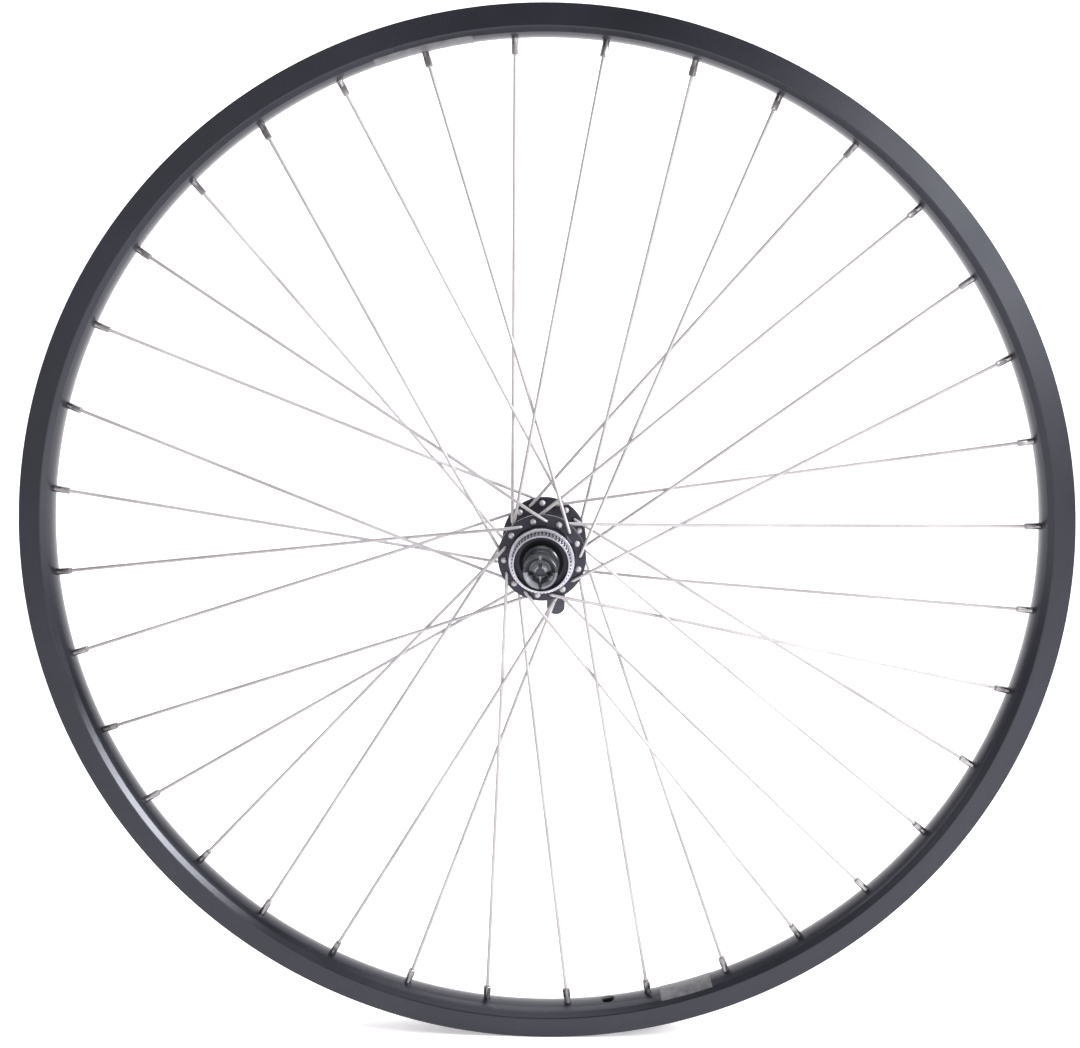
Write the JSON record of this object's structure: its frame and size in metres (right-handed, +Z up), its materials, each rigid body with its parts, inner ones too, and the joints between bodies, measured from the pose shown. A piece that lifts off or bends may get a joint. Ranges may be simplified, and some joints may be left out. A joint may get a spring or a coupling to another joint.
{
  "type": "bicycle wheel",
  "caption": "Spoked front bicycle wheel for a disc brake, with a hooked hollow rim, a splined hub on cup-and-cone bearings and a quick-release skewer.",
  "frame": {"origin": "centre of the rim, on the axle's centre line", "axes": "+Y along the axle from the brake-disc side to the lever side, +Z up"},
  "size_m": [0.6339, 0.1326, 0.634],
  "materials": {
    "rim_black": "satin black anodised",
    "spoke_steel": "bright drawn stainless",
    "nipple_plated": "nickel plated",
    "hub_black": "black anodised",
    "spline_silver": "machined",
    "bearing_steel": "ground and hardened",
    "axle_steel": "zinc plated",
    "boot_rubber": "matt",
    "skewer_black": "gloss black paint"
  },
  "bodies": {
    "axle": {"axle": "axle_steel", "disc_side_bearing_cone": "bearing_steel", "lever_side_bearing_cone": "bearing_steel", "disc_side_spacer": "axle_steel", "lever_side_spacer": "axle_steel", "axle_locknuts": "axle_steel", "axle_boot": "boot_rubber"},
    "wheel": {"rim": "rim_black", "spoke_01": "spoke_steel", "spoke_02": "spoke_steel", "spoke_03": "spoke_steel", "spoke_04": "spoke_steel", "spoke_05": "spoke_steel", "spoke_06": "spoke_steel", "spoke_07": "spoke_steel", "spoke_08": "spoke_steel", "spoke_09": "spoke_steel", "spoke_10": "spoke_steel", "spoke_11": "spoke_steel", "spoke_12": "spoke_steel", "spoke_13": "spoke_steel", "spoke_14": "spoke_steel", "spoke_15": "spoke_steel", "spoke_16": "spoke_steel", "spoke_17": "spoke_steel", "spoke_18": "spoke_steel", "spoke_19": "spoke_steel", "spoke_20": "spoke_steel", "spoke_21": "spoke_steel", "spoke_22": "spoke_steel", "spoke_23": "spoke_steel", "spoke_24": "spoke_steel", "spoke_25": "spoke_steel", "spoke_26": "spoke_steel", "spoke_27": "spoke_steel", "spoke_28": "spoke_steel", "spoke_29": "spoke_steel", "spoke_30": "spoke_steel", "spoke_31": "spoke_steel", "spoke_32": "spoke_steel", "spoke_33": "spoke_steel", "spoke_34": "spoke_steel", "spoke_35": "spoke_steel", "spoke_36": "spoke_steel", "spoke_nipples": "nipple_plated", "hub_shell": "hub_black", "rotor_spline_ring": "spline_silver", "disc_side_bearing_cup": "bearing_steel", "lever_side_bearing_cup": "bearing_steel", "disc_side_dust_cap": "hub_black", "lever_side_dust_cap": "hub_black"},
    "disc_side_balls": {"disc_side_bearing_balls": "bearing_steel"},
    "lever_side_balls": {"lever_side_bearing_balls": "bearing_steel"},
    "skewer": {"cam_housing": "skewer_black"},
    "lever": {"skewer_lever": "skewer_black", "lever_cap": "skewer_black"},
    "rod": {"skewer_rod": "skewer_black"},
    "nut": {"skewer_nut": "skewer_black"}
  },
  "joints": [
    {"name": "wheel_spin", "type": "hinge", "parent": "axle", "child": "wheel", "pos_m": [0, 0, 0], "axis": [0, 1, 0], "continuous": true},
    {"name": "disc_side_balls_roll", "type": "hinge", "parent": "axle", "child": "disc_side_balls", "pos_m": [0, -0.031, 0], "axis": [0, 1, 0], "continuous": true},
    {"name": "lever_side_balls_roll", "type": "hinge", "parent": "axle", "child": "lever_side_balls", "pos_m": [0, 0.039, 0], "axis": [0, 1, 0], "continuous": true},
    {"name": "skewer_turn", "type": "hinge", "parent": "axle", "child": "skewer", "pos_m": [0, 0, 0], "axis": [0, 1, 0], "continuous": true},
    {"name": "lever_swing", "type": "hinge", "parent": "skewer", "child": "lever", "pos_m": [0, 0.062, 0], "axis": [1, 0, 0], "range_deg": [0, 180]},
    {"name": "rod_pull", "type": "slide", "parent": "skewer", "child": "rod", "axis": [0, -1, 0], "range_m": [0, 0.002]},
    {"name": "nut_turn", "type": "hinge", "parent": "rod", "child": "nut", "pos_m": [0, -0.056, 0], "axis": [0, 1, 0], "continuous": true}
  ],
  "couplings": [
    {"joint": "disc_side_balls_roll", "follows": "wheel_spin", "ratio": 0.5915},
    {"joint": "lever_side_balls_roll", "follows": "wheel_spin", "ratio": 0.5915},
    {"joint": "rod_pull", "follows": "lever_swing", "m_per_rad": 0.0006366}
  ]
}
